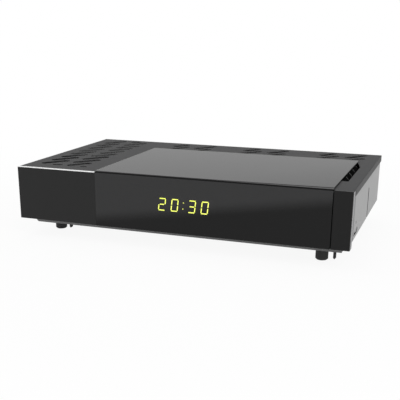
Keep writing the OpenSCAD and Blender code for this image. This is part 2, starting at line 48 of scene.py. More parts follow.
def setInputs(tree, node, inputs):  # each input gets a value, or a link from another node's output
    for socket, source in inputs.items():
        if isinstance(source, bpy.types.NodeSocket):
            tree.links.new(source, node.inputs[socket])
        else:
            node.inputs[socket].default_value = source


def addNode(tree, kind, inputs=None, **settings):
    node = tree.nodes.new(kind)
    for name, value in settings.items():
        setattr(node, name, value)
    setInputs(tree, node, inputs or {})
    return node


def addMath(tree, operation, *sources):  # each source is a number or an output
    return addNode(tree, "ShaderNodeMath", dict(enumerate(sources)), operation=operation).outputs[0]


def addRange(tree, value, fromSpan, toSpan=(0, 1), **settings):
    return addNode(tree, "ShaderNodeMapRange", {
        "Value": value, "From Min": fromSpan[0], "From Max": fromSpan[1],
        "To Min": toSpan[0], "To Max": toSpan[1],
    }, **settings).outputs["Result"]


def addTint(tree, colour, share):  # the colour times a share
    return addNode(tree, "ShaderNodeVectorMath", {0: colour, "Scale": share}, operation="SCALE").outputs[0]


def addToneMix(tree, share, tone, otherTone):  # the first tone at 0, the other at 1
    return addNode(tree, "ShaderNodeMix", {0: share, 6: tone, 7: otherTone}, data_type="RGBA").outputs[2]


def addPlace(tree):  # the place on the piece, in metres
    return addNode(tree, "ShaderNodeTexCoord").outputs["Object"]


def addAxes(tree, place):
    return addNode(tree, "ShaderNodeSeparateXYZ", {0: place}).outputs


def addSeenByEye(tree):  # 1 for what the camera, metal and glass see, 0 for what lights the object
    rays = addNode(tree, "ShaderNodeLightPath").outputs
    cameraOrGloss = addMath(tree, "MAXIMUM", rays["Is Camera Ray"], rays["Is Glossy Ray"])
    return addMath(tree, "MAXIMUM", cameraOrGloss, rays["Is Transmission Ray"])


def newMaterial(name):
    material = bpy.data.materials.new(name)
    material.use_nodes = True
    return material


# camera, floor and light

cameraView = {
    "place": (0.16586, -0.48536, 0.13707),
    "azimuth": 21.012,
    "elevation": 18.494,
    "focalPixels": 738.98,
    "pictureSide": 400,
    "straightAhead": (182, 270),  # the pixel that the lens axis meets
    "sensorWidth": 36,
    "clipStart": 0.01,
}

studioLight = {
    "worldLevel": 0.62,
    # the backdrop from the horizon up to the ceiling, by the sine of the angle: white below, greyer above
    "backdrop": ((0.05, 1.0), (0.15, 0.655), (0.26, 0.75), (0.45, 0.55), (1.0, 0.3)),
    # name, place, aimed at, side in metres, watts
    "softBoxes": (
        ("keyBox", (0.9, -0.75, 1.0), (0, 0, 0.02), 0.9, 7.6),
        ("topBox", (-0.4, 0.1, 1.4), (0, 0, 0.02), 1.0, 5),
    ),
}


def addCamera(view):
    data = bpy.data.cameras.new("photoCamera")
    camera = bpy.data.objects.new("photoCamera", data)
    bpy.context.scene.collection.objects.link(camera)
    side = view["pictureSide"]
    data.sensor_fit = "HORIZONTAL"
    data.sensor_width = view["sensorWidth"]
    data.lens = view["focalPixels"] / side * data.sensor_width
    data.shift_x = (side / 2 - view["straightAhead"][0]) / side
    data.shift_y = (view["straightAhead"][1] - side / 2) / side
    data.clip_start = view["clipStart"]
    camera.location = view["place"]
    camera.rotation_euler = (math.radians(90 - view["elevation"]), 0, math.radians(view["azimuth"]))
    bpy.context.scene.camera = camera


def addSoftBox(name, place, target, side, watts):
    data = bpy.data.lights.new(name, "AREA")
    data.shape = "SQUARE"
    data.size = side
    data.energy = watts
    lamp = bpy.data.objects.new(name, data)
    bpy.context.scene.collection.objects.link(lamp)
    lamp.location = place
    lamp.rotation_euler = (Vector(target) - Vector(place)).to_track_quat("-Z", "Y").to_euler()


def addWorld(light):
    world = bpy.data.worlds.new("studioWorld")
    bpy.context.scene.world = world
    world.use_nodes = True
    tree = world.node_tree
    tree.nodes.clear()
    lighting = addNode(tree, "ShaderNodeBackground", {"Color": (1, 1, 1, 1), "Strength": light["worldLevel"]})
    direction = addNode(tree, "ShaderNodeTexCoord").outputs["Generated"]
    ramp = addNode(tree, "ShaderNodeValToRGB", {"Fac": addAxes(tree, direction)["Z"]})
    for i, (height, level) in enumerate(light["backdrop"]):
        stop = ramp.color_ramp.elements[i] if i < 2 else ramp.color_ramp.elements.new(height)
        stop.position = height
        stop.color = (level, level, level, 1)
    shown = addNode(tree, "ShaderNodeBackground", {"Color": ramp.outputs["Color"], "Strength": 1})
    mix = addNode(tree, "ShaderNodeMixShader", {
        "Fac": addSeenByEye(tree), 1: lighting.outputs[0], 2: shown.outputs[0],
    })
    addNode(tree, "ShaderNodeOutputWorld", {"Surface": mix.outputs[0]})


floorLook = {
    "size": 12.0, "colour": (0.82, 0.82, 0.82, 1),
    # share of plain white in what the eye sees, which grows to 1 over these distances, in metres
    "whiteNear": 0.92, "reach": (0.15, 0.4),
}


def addFloor(look):
    bpy.ops.mesh.primitive_plane_add(size=look["size"], location=(0, 0, 0))
    floor = bpy.context.active_object
    floor.name = "studioFloor"
    material = newMaterial("paleFloor")
    tree = material.node_tree
    tree.nodes.clear()
    distance = addNode(tree, "ShaderNodeVectorMath", {0: addPlace(tree)}, operation="LENGTH").outputs["Value"]
    fade = addRange(tree, distance, look["reach"], (look["whiteNear"], 1), interpolation_type="SMOOTHSTEP")
    plain = addNode(tree, "ShaderNodeBsdfDiffuse", {"Color": look["colour"]})
    white = addNode(tree, "ShaderNodeEmission", {"Strength": 1})
    mix = addNode(tree, "ShaderNodeMixShader", {
        "Fac": addMath(tree, "MULTIPLY", addSeenByEye(tree), fade), 1: plain.outputs[0], 2: white.outputs[0],
    })
    addNode(tree, "ShaderNodeOutputMaterial", {"Surface": mix.outputs[0]})
    floor.data.materials.append(material)


bpy.ops.object.select_all(action="DESELECT")
addCamera(cameraView)
addWorld(studioLight)
for box in studioLight["softBoxes"]:
    addSoftBox(*box)
addFloor(floorLook)
bpy.context.scene.view_settings.view_transform = "Standard"
print("camera, floor and lamps set")

# shared effects


def newGroup(name, inputs, outputs):
    group = bpy.data.node_groups.new(name, "ShaderNodeTree")
    for label, kind, value in inputs:
        socket = group.interface.new_socket(label, in_out="INPUT", socket_type=kind)
        socket.default_value = value
    for label, kind in outputs:
        group.interface.new_socket(label, in_out="OUTPUT", socket_type=kind)
    return group, group.nodes.new("NodeGroupInput").outputs, group.nodes.new("NodeGroupOutput")


grainShape = {"fineDetail": 3, "broadScale": 28, "broadDetail": 2, "broadShare": 0.5}


def makeGrainGroup(shape):  # fine grain: a small spread of colour and roughness, and a height for Bump
    group, given, end = newGroup(
        "surfaceGrain",
        [("Scale", "NodeSocketFloat", 900.0), ("Stretch", "NodeSocketVector", (1, 1, 1)),
         ("Base", "NodeSocketColor", (0.5, 0.5, 0.5, 1)), ("Spread", "NodeSocketFloat", 0.1),
         ("Roughness", "NodeSocketFloat", 0.5), ("Roughness Spread", "NodeSocketFloat", 0.08)],
        [("Color", "NodeSocketColor"), ("Roughness", "NodeSocketFloat"), ("Height", "NodeSocketFloat")])
    place = addPlace(group)
    stretch = addNode(group, "ShaderNodeVectorMath", {0: place, 1: given["Stretch"]}, operation="MULTIPLY")
    fine = addNode(group, "ShaderNodeTexNoise", {
        "Vector": stretch.outputs[0], "Scale": given["Scale"], "Detail": shape["fineDetail"],
    }).outputs["Fac"]
    broad = addNode(group, "ShaderNodeTexNoise", {
        "Vector": place, "Scale": shape["broadScale"], "Detail": shape["broadDetail"],
    }).outputs["Fac"]
    both = addMath(group, "MULTIPLY_ADD", broad, shape["broadShare"], fine)
    middle = (1 + shape["broadShare"]) / 2
    centred = addMath(group, "SUBTRACT", both, middle)
    gain = addMath(group, "ADD", addMath(group, "MULTIPLY", centred, given["Spread"]), 1)
    setInputs(group, end, {
        "Color": addTint(group, given["Base"], gain),
        "Roughness": addMath(group, "MULTIPLY_ADD", centred, given["Roughness Spread"], given["Roughness"]),
        "Height": fine,
    })
    return group


surfaceGrain = makeGrainGroup(grainShape)

# what a surface has unless its own look says otherwise
commonLook = {
    "colour": (0.5, 0.5, 0.5), "scale": 900, "stretch": (1, 1, 1), "spread": 0.15, "roughSpread": 0.1,
    "bump": 0.2, "bumpDepth": 0.0001, "metallic": 0, "specular": 0.5,
}


def makeSurface(name, ownLook):  # a Principled material whose colour, roughness and bump come from the grain
    look = {**commonLook, **ownLook}
    material = newMaterial(name)
    tree = material.node_tree
    grain = addNode(tree, "ShaderNodeGroup", {
        "Scale": look["scale"], "Stretch": look["stretch"], "Base": (*look["colour"], 1),
        "Spread": look["spread"], "Roughness": look["roughness"], "Roughness Spread": look["roughSpread"],
    }, node_tree=surfaceGrain).outputs
    bump = addNode(tree, "ShaderNodeBump", {
        "Strength": look["bump"], "Distance": look["bumpDepth"], "Height": grain["Height"],
    })
    setInputs(tree, tree.nodes["Principled BSDF"], {
        "Base Color": grain["Color"], "Roughness": grain["Roughness"], "Normal": bump.outputs["Normal"],
        "Metallic": look["metallic"], "Specular IOR Level": look["specular"],
    })
    return material


surfaceLooks = {
    "galvanisedSheet": {"colour": (0.33, 0.33, 0.33), "roughness": 0.5, "metallic": 0.25, "scale": 160,
                        "stretch": (1, 1, 0.12), "spread": 0.22, "bump": 0.08},
    "greyMoulding": {"colour": (0.30, 0.30, 0.305), "roughness": 0.55, "scale": 1800, "bump": 0.15},
    "blockMoulding": {"colour": (0.013, 0.013, 0.013), "roughness": 0.42, "scale": 2200, "bump": 0.12,
                      "specular": 0.25},
    "stripMoulding": {"colour": (0.009, 0.009, 0.009), "roughness": 0.38, "scale": 2200, "bump": 0.1,
                      "specular": 0.18},
    "darkWindow": {"colour": (0.012, 0.012, 0.015), "roughness": 0.2, "scale": 500, "bump": 0.02},
    "circuitBoard": {"colour": (0.012, 0.09, 0.035), "roughness": 0.35, "scale": 700, "spread": 0.5,
                     "bump": 0.1},
    "greyCable": {"colour": (0.4, 0.4, 0.41), "roughness": 0.5, "scale": 1200, "stretch": (1, 0.02, 0.02),
                  "spread": 0.5, "bump": 0.4},
    "creamNylon": {"colour": (0.62, 0.58, 0.47), "roughness": 0.5},
    "turnedBrass": {"colour": (0.72, 0.52, 0.2), "roughness": 0.3, "metallic": 1, "stretch": (0.1, 0.1, 1),
                    "bump": 0.1},
    "zincScrew": {"colour": (0.55, 0.55, 0.54), "roughness": 0.32, "metallic": 1, "scale": 700, "bump": 0.06},
    "tinnedSheet": {"colour": (0.6, 0.6, 0.58), "roughness": 0.3, "metallic": 1, "scale": 90, "bump": 0.05},
    "nickelPlate": {"colour": (0.66, 0.64, 0.58), "roughness": 0.22, "metallic": 1, "scale": 700,
                    "bump": 0.03},
    "chipBody": {"colour": (0.02, 0.02, 0.021), "roughness": 0.6, "scale": 2600, "bump": 0.2},
    "sinkAnodised": {"colour": (0.03, 0.03, 0.032), "roughness": 0.45, "metallic": 0.5, "scale": 1500,
                     "stretch": (1, 0.05, 1), "bump": 0.1},
    "canSleeve": {"colour": (0.012, 0.02, 0.05), "roughness": 0.3},
    "ferriteBody": {"colour": (0.05, 0.05, 0.053), "roughness": 0.7, "scale": 2400, "bump": 0.3},
    "socketMoulding": {"colour": (0.018, 0.018, 0.018), "roughness": 0.45, "scale": 2000, "bump": 0.12},
    "orangeMoulding": {"colour": (0.75, 0.2, 0.015), "roughness": 0.4, "scale": 1500, "bump": 0.08},
    "footRubber": {"colour": (0.03, 0.03, 0.03), "roughness": 0.75, "scale": 2200, "bump": 0.3},
    # near-black surface of the strip that stands for painted shade beside the gloss plate
    "shadeStripBlack": {"colour": (0.004, 0.004, 0.004), "roughness": 0.9, "scale": 2000, "specular": 0.03},
    "goldContact": {"colour": (0.83, 0.6, 0.22), "roughness": 0.25, "metallic": 1, "scale": 1500,
                    "bump": 0.03},
    "whiteInk": {"colour": (0.72, 0.72, 0.71), "roughness": 0.5, "scale": 1800, "bump": 0.05},
}
surfaces = {name: makeSurface(name, look) for name, look in surfaceLooks.items()}

clockLook = {
    # the light varies a little along the segments: where on the noise each tone stands
    "tones": ((0.3, (0.75, 0.85, 0.09, 1)), (0.7, (0.92, 0.95, 0.19, 1))), "noiseScale": 600,
    "glow": 0.66, "roughness": 0.3,
    # the colon's dots are fainter: their middle and half width in x, and their share of the light
    "colon": (0.00745, 0.0008), "colonShare": 0.55,
}


def makeLitSegments(look):
    material = newMaterial("litSegments")
    tree = material.node_tree
    place = addPlace(tree)
    noise = addNode(tree, "ShaderNodeTexNoise", {"Vector": place, "Scale": look["noiseScale"]})
    ramp = addNode(tree, "ShaderNodeValToRGB", {"Fac": noise.outputs["Fac"]})
    for i, (position, tone) in enumerate(look["tones"]):
        ramp.color_ramp.elements[i].position = position
        ramp.color_ramp.elements[i].color = tone
    onColon = addMath(tree, "COMPARE", addAxes(tree, place)["X"], *look["colon"])
    lit = addTint(tree, ramp.outputs["Color"], addRange(tree, onColon, (0, 1), (1, look["colonShare"])))
    setInputs(tree, tree.nodes["Principled BSDF"], {
        "Base Color": lit, "Emission Color": lit, "Emission Strength": look["glow"],
        "Roughness": look["roughness"],
    })
    return material


surfaces["litSegments"] = makeLitSegments(clockLook)

# surfaces whose tone depends on the place


def openSurface(name, look):  # a surface, with what a layer of tone over it needs
    material = makeSurface(name, look)
    tree = material.node_tree
    return material, tree, tree.nodes["Principled BSDF"], addAxes(tree, addPlace(tree))


def plainColour(shader):  # the colour that the grain gives
    return shader.inputs["Base Color"].links[0].from_socket


smokedPlate = {
    "sheet": {"roughness": 0.1, "scale": 400, "bump": 0.006, "roughSpread": 0.03, "specular": 0.235},
    # painted reflection on the front: the lighter tone above the slanted edge, the darker tone below it
    "reflectionLightTone": (0.029, 0.029, 0.0295, 1), "reflectionDarkTone": (0.0012, 0.0012, 0.0012, 1),
    # the edge of the painted dark reflection on the front: height at x = 0, slope, and how soft it is, in
    # metres
    "edgeHeight": 0.0254, "edgeSlope": 0.152, "edgeSoft": 0.0048,
    "shoulder": (0.0466, 0.0469),  # the rounded top edge keeps the painted dark reflection, as a dark line
}


def makeSmokedPlate(look):  # gloss plate: a smoked sheet whose colour holds a painted reflection, lighter above a soft slanted edge and deeper below it
    material, tree, shader, axes = openSurface("pianoBlack", look["sheet"])
    line = addMath(tree, "MULTIPLY_ADD", axes["X"], -look["edgeSlope"], axes["Z"])
    edge = (look["edgeHeight"] - look["edgeSoft"], look["edgeHeight"] + look["edgeSoft"])
    above = addRange(tree, line, edge, interpolation_type="SMOOTHSTEP")
    share = addMath(tree, "MULTIPLY", above, addRange(tree, axes["Z"], look["shoulder"], (1, 0)))
    setInputs(tree, shader, {"Base Color": addToneMix(tree, share, look["reflectionDarkTone"], look["reflectionLightTone"])})
    return material


surfaces["pianoBlack"] = makeSmokedPlate(smokedPlate)

trayLook = {
    # panPaintedShade darkens the stamped pan below panTop as painted shade
    "sheet": surfaceLooks["galvanisedSheet"], "panPaintedShade": 0.3, "panTop": (0.0138, 0.0146),
    # painted shade on the side walls: centre and half depth along y, centre and half width in x, tone
    "shades": (
        (0.0042, 0.0014, 0.10904, 0.00034, 0.16),  # painted shade on the cut edges of the slit
        (-0.047, 0.0071, 0.10904, 0.00034, 0.16),  # painted shade on the cut edges of the hook's window
        (-0.0583, 0.0016, 0.1091, 0.0005, 0.3),  # painted shade at the joint beside the front moulding
    ),
}


def addWallShade(tree, axes, shades):  # 1 on the sheet, the painted shade's tone in each shaded place
    fromMiddle = addMath(tree, "ABSOLUTE", axes["X"])
    total = 1
    for yCentre, yHalf, xCentre, xHalf, tone in shades:
        inDepth = addMath(tree, "COMPARE", axes["Y"], yCentre, yHalf)
        inWidth = addMath(tree, "COMPARE", fromMiddle, xCentre, xHalf)
        within = addMath(tree, "MULTIPLY", inDepth, inWidth)
        total = addMath(tree, "MULTIPLY", total, addRange(tree, within, (0, 1), (1, tone)))
    return total


def makeTraySheet(look):  # the same sheet as the rear panel, with painted shade on the stamped pan and on the side walls
    material, tree, shader, axes = openSurface("traySheet", look["sheet"])
    level = addRange(tree, axes["Z"], look["panTop"], (look["panPaintedShade"], 1))
    share = addMath(tree, "MULTIPLY", level, addWallShade(tree, axes, look["shades"]))
    setInputs(tree, shader, {
        "Base Color": addTint(tree, plainColour(shader), share),
        "Metallic": addMath(tree, "MULTIPLY", level, look["sheet"]["metallic"]),
    })
    return material


surfaces["traySheet"] = makeTraySheet(trayLook)

lidCoatLook = {
    "coat": {"colour": (0.0305, 0.0305, 0.0315), "roughness": 0.55, "scale": 2600, "spread": 0.25,
             "bump": 0.35, "bumpDepth": 0.00006, "specular": 0.35},
    # the punched edges behind the front rows: tone, and the middle and half of each range, in metres
    "edgeTone": (0.12, 0.12, 0.12, 1),
    "edgeSpans": {"X": (0, 0.1092), "Y": (0.022, 0.037), "Z": (0.0467, 0.00027)},
    "flangeShade": 0.4, "flangeFrom": (0.1094, 0.1096),  # painted shade: the side flanges are darkened, as they take less light than the top
}


def makeLidCoat(look):  # powder coat, with barer metal on the punched edges of the slots, and painted shade on the side flanges
    material, tree, shader, axes = openSurface("lidCoat", look["coat"])
    onEdge = 1
    for axis, span in look["edgeSpans"].items():
        onEdge = addMath(tree, "MULTIPLY", onEdge, addMath(tree, "COMPARE", axes[axis], *span))
    fromMiddle = addMath(tree, "ABSOLUTE", axes["X"])
    shade = addRange(tree, fromMiddle, look["flangeFrom"], (1, look["flangeShade"]))
    tone = addToneMix(tree, onEdge, addTint(tree, plainColour(shader), shade), look["edgeTone"])
    setInputs(tree, shader, {"Base Color": tone})
    return material


surfaces["lidCoat"] = makeLidCoat(lidCoatLook)

stripTrimLook = {
    "trim": {"colour": (0.94, 0.94, 0.94), "roughness": 0.3, "metallic": 0.25, "scale": 500, "bump": 0.0,
             "spread": 0.05},
    "footPaintedShade": (0.02, 0.02, 0.02, 1), "footTop": (0.04668, 0.0468),  # painted shade along the foot; footTop gives the heights over which the shade fades out
}


def makeStripTrim(look):  # bright strip, with painted shade along its foot where it meets the block
    material, tree, shader, axes = openSurface("stripTrim", look["trim"])
    level = addRange(tree, axes["Z"], look["footTop"])
    tone = addToneMix(tree, level, look["footPaintedShade"], plainColour(shader))
    setInputs(tree, shader, {"Base Color": tone})
    return material


surfaces["stripTrim"] = makeStripTrim(stripTrimLook)

print("materials made:", len(surfaces))

finishOfNode = {
    "chassis_tray": "traySheet", "rear_panel": "galvanisedSheet", "top_cover": "lidCoat",
    "front_frame": "greyMoulding", "left_front_block": "blockMoulding", "right_front_strip": "stripMoulding",
    "gloss_plate": "pianoBlack", "chrome_strip": "stripTrim", "display_digits": "litSegments",
    "display_module": "darkWindow", "display_board": "circuitBoard", "infrared_receiver": "darkWindow",
    "ribbon_cable": "greyCable", "ribbon_headers": "creamNylon", "main_board": "circuitBoard",
    "board_standoffs": "turnedBrass", "board_screws": "zincScrew", "tuner_can": "tinnedSheet",
    "satellite_input": "nickelPlate", "satellite_output": "nickelPlate", "connector_nuts": "nickelPlate",
    "processor_chip": "chipBody", "heat_sink": "sinkAnodised", "memory_chips": "chipBody",
    "capacitors": "canSleeve", "power_coils": "ferriteBody", "scart_socket": "socketMoulding",
    "hdmi_socket": "nickelPlate", "usb_socket": "nickelPlate", "coax_body": "orangeMoulding",
    "coax_barrel": "nickelPlate", "power_inlet": "socketMoulding", "switch_housing": "socketMoulding",
    "switch_rocker": "socketMoulding", "cover_screws": "zincScrew", "rear_panel_screws": "zincScrew",
    "foot_front_left": "footRubber", "foot_front_right": "footRubber", "foot_rear_left": "footRubber",
    "foot_rear_right": "footRubber",
}
for name, finish in finishOfNode.items():
    nodes[name].data.materials.clear()
    nodes[name].data.materials.append(surfaces[finish])
print("CAD nodes finished")

# helpers for pieces, whose sizes are in mm and angles in degrees

mm = 0.001
near = 0.01  # for telling edges by their place
smoothAngle = 35
mergeGap = 0.002  # points closer than this are one point
flatAngle = 0.6  # faces that turn less than this are one face


def onlyThis(piece):
    bpy.ops.object.select_all(action="DESELECT")
    piece.select_set(True)
    bpy.context.view_layer.objects.active = piece


def editMode(selectMode="EDGE"):
    bpy.ops.object.mode_set(mode="EDIT")
    bpy.ops.mesh.select_mode(type=selectMode)


def addBlock(low, high):  # a block from its lowest to its highest corner
    low, high = Vector(low) * mm, Vector(high) * mm
    bpy.ops.object.select_all(action="DESELECT")
    bpy.ops.mesh.primitive_cube_add(size=1, location=(low + high) / 2)
    piece = bpy.context.active_object
    piece.scale = high - low
    bpy.ops.object.transform_apply(location=True, rotation=True, scale=True)
    return piece


def pickEdges(piece, wanted):  # selects the edges whose two ends pass the test
    editMode()
    bpy.ops.mesh.select_all(action="DESELECT")
    bpy.ops.object.mode_set(mode="OBJECT")
    mesh = piece.data
    for edge in mesh.edges:
        ends = [mesh.vertices[i].co / mm for i in edge.vertices]
        edge.select = wanted(*ends)
    bpy.ops.object.mode_set(mode="EDIT")


def bevelEdges(piece, wanted, width, segments=2):
    pickEdges(piece, wanted)
    bpy.ops.mesh.bevel(offset=width * mm, segments=segments, affect="EDGES")
    bpy.ops.object.mode_set(mode="OBJECT")


def addBevel(piece, width, angle=40):  # rounds every edge that turns more than the angle
    bevel = piece.modifiers.new("softEdges", "BEVEL")
    bevel.width = width * mm
    bevel.segments = 2
    bevel.limit_method = "ANGLE"
    bevel.angle_limit = math.radians(angle)
    onlyThis(piece)
    bpy.ops.object.modifier_apply(modifier=bevel.name)


def finishPiece(piece, name, surface, slotName, body="receiver"):
    onlyThis(piece)
    piece.name = name
    bpy.ops.object.transform_apply(location=True, rotation=True, scale=True)
    bpy.ops.object.shade_smooth_by_angle(angle=math.radians(smoothAngle))
    flatten = piece.modifiers.new("flatFaces", "WEIGHTED_NORMAL")  # large faces keep a straight reflection
    flatten.mode = "FACE_AREA"
    flatten.weight = 100
    flatten.keep_sharp = True
    bpy.ops.object.modifier_apply(modifier=flatten.name)
    piece.data.materials.clear()
    piece.data.materials.append(surfaces[surface])
    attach(piece, body)
    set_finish(piece, slotName)


def repeatPiece(piece, name, count, step):  # copies of a finished piece, each with its own mesh
    for i in range(1, count):
        onlyThis(piece)
        bpy.ops.object.duplicate()
        copy = bpy.context.active_object
        copy.parent = None
        copy.location = Vector(step) * i * mm
        bpy.ops.object.transform_apply(location=True, rotation=False, scale=False)
        copy.name = f"{name}{i + 1}"
        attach(copy, "receiver")
        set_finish(copy, piece["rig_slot"])


def mergedCopy(nodeName):
    source = nodes[nodeName]
    piece = source.copy()
    piece.data = source.data.copy()
    piece.parent = None
    piece.matrix_world = source.matrix_world.copy()
    bpy.context.scene.collection.objects.link(piece)
    onlyThis(piece)
    editMode("VERT")
    bpy.ops.mesh.select_all(action="SELECT")
    bpy.ops.mesh.remove_doubles(threshold=mergeGap * mm)
    bpy.ops.mesh.dissolve_limited(angle_limit=math.radians(flatAngle))
    bpy.ops.object.mode_set(mode="OBJECT")
    return piece


def cutAway(piece, cutter):  # takes the cutter's shape out of the piece and clears the cutter away
    cut = piece.modifiers.new("cutAway", "BOOLEAN")
    cut.operation = "DIFFERENCE"
    cut.solver = "EXACT"
    cut.object = cutter
    onlyThis(piece)
    bpy.ops.object.modifier_apply(modifier=cut.name)
    onlyThis(cutter)
    bpy.ops.object.delete()


# front pieces and rear sockets with softened edges

softEdges = {
    # node: piece, edge radius, surface, record's slot
    "left_front_block": ("frontBlock", 0.22, "blockMoulding", "dark_block"),
    "right_front_strip": ("frontStrip", 0.2, "stripMoulding", "dark_block"),
    "chrome_strip": ("brightStrip", 0.12, "stripTrim", "bright_trim"),
    "connector_nuts": ("connectorNuts", 0.3, "nickelPlate", "nickel"),
    "scart_socket": ("televisionSocket", 0.2, "socketMoulding", "socket_black"),
    "switch_housing": ("switchFrame", 0.25, "socketMoulding", "socket_black"),
    "usb_socket": ("usbShell", 0.12, "nickelPlate", "nickel"),
    "hdmi_socket": ("hdmiShell", 0.12, "nickelPlate", "nickel"),
}
for nodeName, (pieceName, width, surface, slotName) in softEdges.items():
    piece = mergedCopy(nodeName)
    addBevel(piece, width)
    finishPiece(piece, pieceName, surface, slotName)
    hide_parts(nodeName)
print("front pieces and sockets softened")

# lid, gloss plate and the dark strip that stands for painted shade along its left edge

lidLook = {
    "bend": 0.5, "bendSegments": 3, "topHeight": 46.9, "halfWidth": 109.9, "rear": 59.5,
    # short slots that square off the front of the two left columns: left and right centres, radius
    "shortSlots": (((-90.6, -56.0), (-86.2, -55.6), 1.4), ((-69.8, -56.4), (-67.6, -56.2), 1.3)),
    "cutLevels": (45.4, 48.0), "cutSides": 24,
}


def addSlotCutter(start, end, radius, look):  # a cylinder whose right half is drawn out to the slot's end
    low, high = look["cutLevels"]
    bpy.ops.object.select_all(action="DESELECT")
    bpy.ops.mesh.primitive_cylinder_add(
        vertices=look["cutSides"], radius=radius * mm, depth=(high - low) * mm,
        location=(start[0] * mm, start[1] * mm, (low + high) / 2 * mm))
    cutter = bpy.context.active_object
    bpy.ops.object.transform_apply(location=True, rotation=True, scale=True)
    pickEdges(cutter, lambda a, b: min(a.x, b.x) > start[0] + near)
    bpy.ops.transform.translate(value=((end[0] - start[0]) * mm, (end[1] - start[1]) * mm, 0))
    bpy.ops.object.mode_set(mode="OBJECT")
    return cutter


def makeLid(look):  # the folded sheet's bends run round the sides and the back
    piece = mergedCopy("top_cover")

    def onBend(a, b):
        high = a.z > look["topHeight"] and b.z > look["topHeight"]
        side = a.x * b.x > 0 and min(abs(a.x), abs(b.x)) > look["halfWidth"]
        back = min(a.y, b.y) > look["rear"]
        return high and (side or back)

    bevelEdges(piece, onBend, look["bend"], look["bendSegments"])
    for start, end, radius in look["shortSlots"]:
        cutAway(piece, addSlotCutter(start, end, radius, look))
    finishPiece(piece, "lid", "lidCoat", "black_coat")
    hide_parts("top_cover")


makeLid(lidLook)

plateLook = {
    # the rims of the top are the edges beyond these places
    "edge": 0.3, "left": -52.9, "right": 98.4, "back": 26.5, "top": 47.8,
    # ledge along the front edge, where the top sheet draws back towards the right end
    "ledgeFrom": 20, "ledgeTo": 99, "ledgeFront": -71.5, "leftBack": -70.1, "rightBack": -66.9,
    "ledgeLevel": 47.72, "cutHeight": 2,
}


def addLedgeCutter(look):
    low = (look["ledgeFrom"], look["ledgeFront"], look["ledgeLevel"])
    high = (look["ledgeTo"], look["rightBack"], look["ledgeLevel"] + look["cutHeight"])
    cutter = addBlock(low, high)

    def atLeftBack(a, b):
        return max(a.x, b.x) < look["ledgeFrom"] + near and min(a.y, b.y) > look["rightBack"] - near

    pickEdges(cutter, atLeftBack)
    bpy.ops.transform.translate(value=(0, (look["leftBack"] - look["rightBack"]) * mm, 0))
    bpy.ops.object.mode_set(mode="OBJECT")
    return cutter


def makePlate(look):  # the plate's top edges are eased at the left, the right and the back
    piece = mergedCopy("gloss_plate")

    def onRim(a, b):
        leftRim = max(a.x, b.x) < look["left"]
        rightRim = min(a.x, b.x) > look["right"]
        backRim = min(a.y, b.y) > look["back"]
        level = abs(a.z - b.z) < near and min(a.z, b.z) > look["top"]
        return level and (leftRim or rightRim or backRim)

    bevelEdges(piece, onRim, look["edge"])
    cutAway(piece, addLedgeCutter(look))
    finishPiece(piece, "glossPlate", "pianoBlack", "piano_black")
    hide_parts("gloss_plate")


makePlate(plateLook)

shadeStripLook = {"low": (-53.6, -68.2, 47.0), "high": (-53.0, 26.8, 47.25), "ease": 0.1}


def addPlateShadeStrip(look):  # thin black strip in the corner between the lid and the plate's left edge, standing for the shade line there
    piece = addBlock(look["low"], look["high"])
    addBevel(piece, look["ease"])
    finishPiece(piece, "plateShadeStrip", "shadeStripBlack", "piano_black")


addPlateShadeStrip(shadeStripLook)
print("lid and gloss plate made")

# screwed satellite connectors

connectorLook = {
    # node: piece, place in x
    "places": {"satellite_input": ("satelliteIn", -90), "satellite_output": ("satelliteOut", -70)},
    "height": 24.2, "inside": 54.6, "tip": 71.0, "steps": 48,
    "thread": (62.2, 70.2), "pitch": 0.8, "collar": 0.4,
    "turn": (0.3, 0.45, 0.8),  # shares of the pitch where the root starts and ends and the crest is reached
    "crest": 4.75, "root": 4.35, "shank": 4.2, "insulator": 3.1, "hole": 0.6, "holeDepth": 6,
    "tipEase": 0.35, "mouthEase": 0.25, "recess": 0.3, "holeEase": 0.5,
}


def addSpun(points, place, steps):  # turns a profile of (radius, y) points round an axis along y
    bpy.ops.object.select_all(action="DESELECT")
    bpy.ops.mesh.primitive_plane_add(size=mm, location=(0, 0, 0))
    piece = bpy.context.active_object
    editMode("VERT")
    bpy.ops.mesh.select_all(action="SELECT")
    bpy.ops.mesh.merge(type="CENTER")
    x, z = place
    here = Vector((0, 0, 0))
    for i, (radius, y) in enumerate(points):
        there = Vector(((x + radius) * mm, y * mm, z * mm))
        if i == 0:
            bpy.ops.transform.translate(value=there - here)
        else:
            bpy.ops.mesh.extrude_region_move(TRANSFORM_OT_translate={"value": there - here})
        here = there
    bpy.ops.mesh.select_all(action="SELECT")
    bpy.ops.mesh.spin(steps=steps, angle=2 * math.pi, center=(x * mm, 0, z * mm), axis=(0, 1, 0))
    bpy.ops.mesh.select_all(action="SELECT")
    bpy.ops.mesh.remove_doubles(threshold=0.001 * mm)
    bpy.ops.mesh.normals_make_consistent(inside=False)
    bpy.ops.object.mode_set(mode="OBJECT")
    return piece


def connectorProfile(look):
    start, end = look["thread"]
    pitch, crest, root, shank = look["pitch"], look["crest"], look["root"], look["shank"]
    collar = start - look["collar"]
    points = [(0, look["inside"]), (shank, look["inside"]), (shank, collar), (crest, collar), (crest, start)]
    rootStart, rootEnd, crestStart = look["turn"]
    for i in range(int((end - start) / pitch)):
        y = start + i * pitch
        points += [(root, y + rootStart * pitch), (root, y + rootEnd * pitch),
                   (crest, y + crestStart * pitch), (crest, y + pitch)]
    tip, ease, hole = look["tip"], look["tipEase"], look["hole"]
    recess = tip - look["recess"]
    bottom = tip - look["holeDepth"]
    points += [(crest, tip - ease), (crest - ease, tip), (look["insulator"] + look["mouthEase"], tip),
               (look["insulator"], recess), (hole + look["holeEase"], recess),
               (hole, recess - look["holeEase"]), (hole, bottom), (0, bottom)]
    return points


